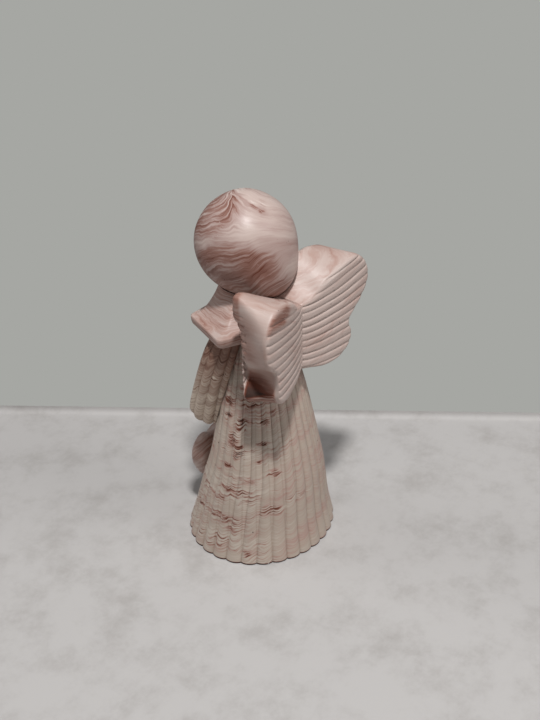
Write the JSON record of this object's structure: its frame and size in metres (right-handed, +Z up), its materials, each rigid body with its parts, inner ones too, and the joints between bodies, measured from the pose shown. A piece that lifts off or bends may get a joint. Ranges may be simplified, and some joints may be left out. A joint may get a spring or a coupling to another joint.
{
  "type": "angel figurine",
  "caption": "Small marbled angel with a ball head, flared pointed collar, fluted bell gown, ribbed sleeves, thick grooved butterfly wings and a heart on the front of the gown.",
  "frame": {"origin": "centre of the gown's flat underside", "axes": "+Z up through the head, -Y the way the angel looks, +X to its own left"},
  "size_m": [0.0465, 0.0405, 0.095],
  "materials": {
    "marbled_gown": "satin cast stone, cream with reddish-brown streaks in level layers",
    "marbled_head": "polished cast stone, cream above and rose-brown below, with fine veins",
    "marbled_collar": "satin cast stone, rose with lines along the rim",
    "marbled_wing": "satin cast stone, pale rose, grooves darker",
    "marbled_sleeve": "satin cast stone, grey-cream with stacked brown bands",
    "marbled_hand": "satin cast stone, cream-rose",
    "marbled_heart": "satin cast stone, rose-brown with slanting streaks",
    "peg_wood": "plain turned dowel"
  },
  "bodies": {
    "root": {"gown": "marbled_gown", "head": "marbled_head", "collar": "marbled_collar", "left_wing": "marbled_wing", "right_wing": "marbled_wing", "left_sleeve": "marbled_sleeve", "right_sleeve": "marbled_sleeve", "left_hand": "marbled_hand", "right_hand": "marbled_hand", "heart": "marbled_heart", "neck_peg": "peg_wood", "left_wing_peg": "peg_wood", "right_wing_peg": "peg_wood", "left_sleeve_peg": "peg_wood", "right_sleeve_peg": "peg_wood", "heart_peg": "peg_wood"}
  },
  "joints": []
}
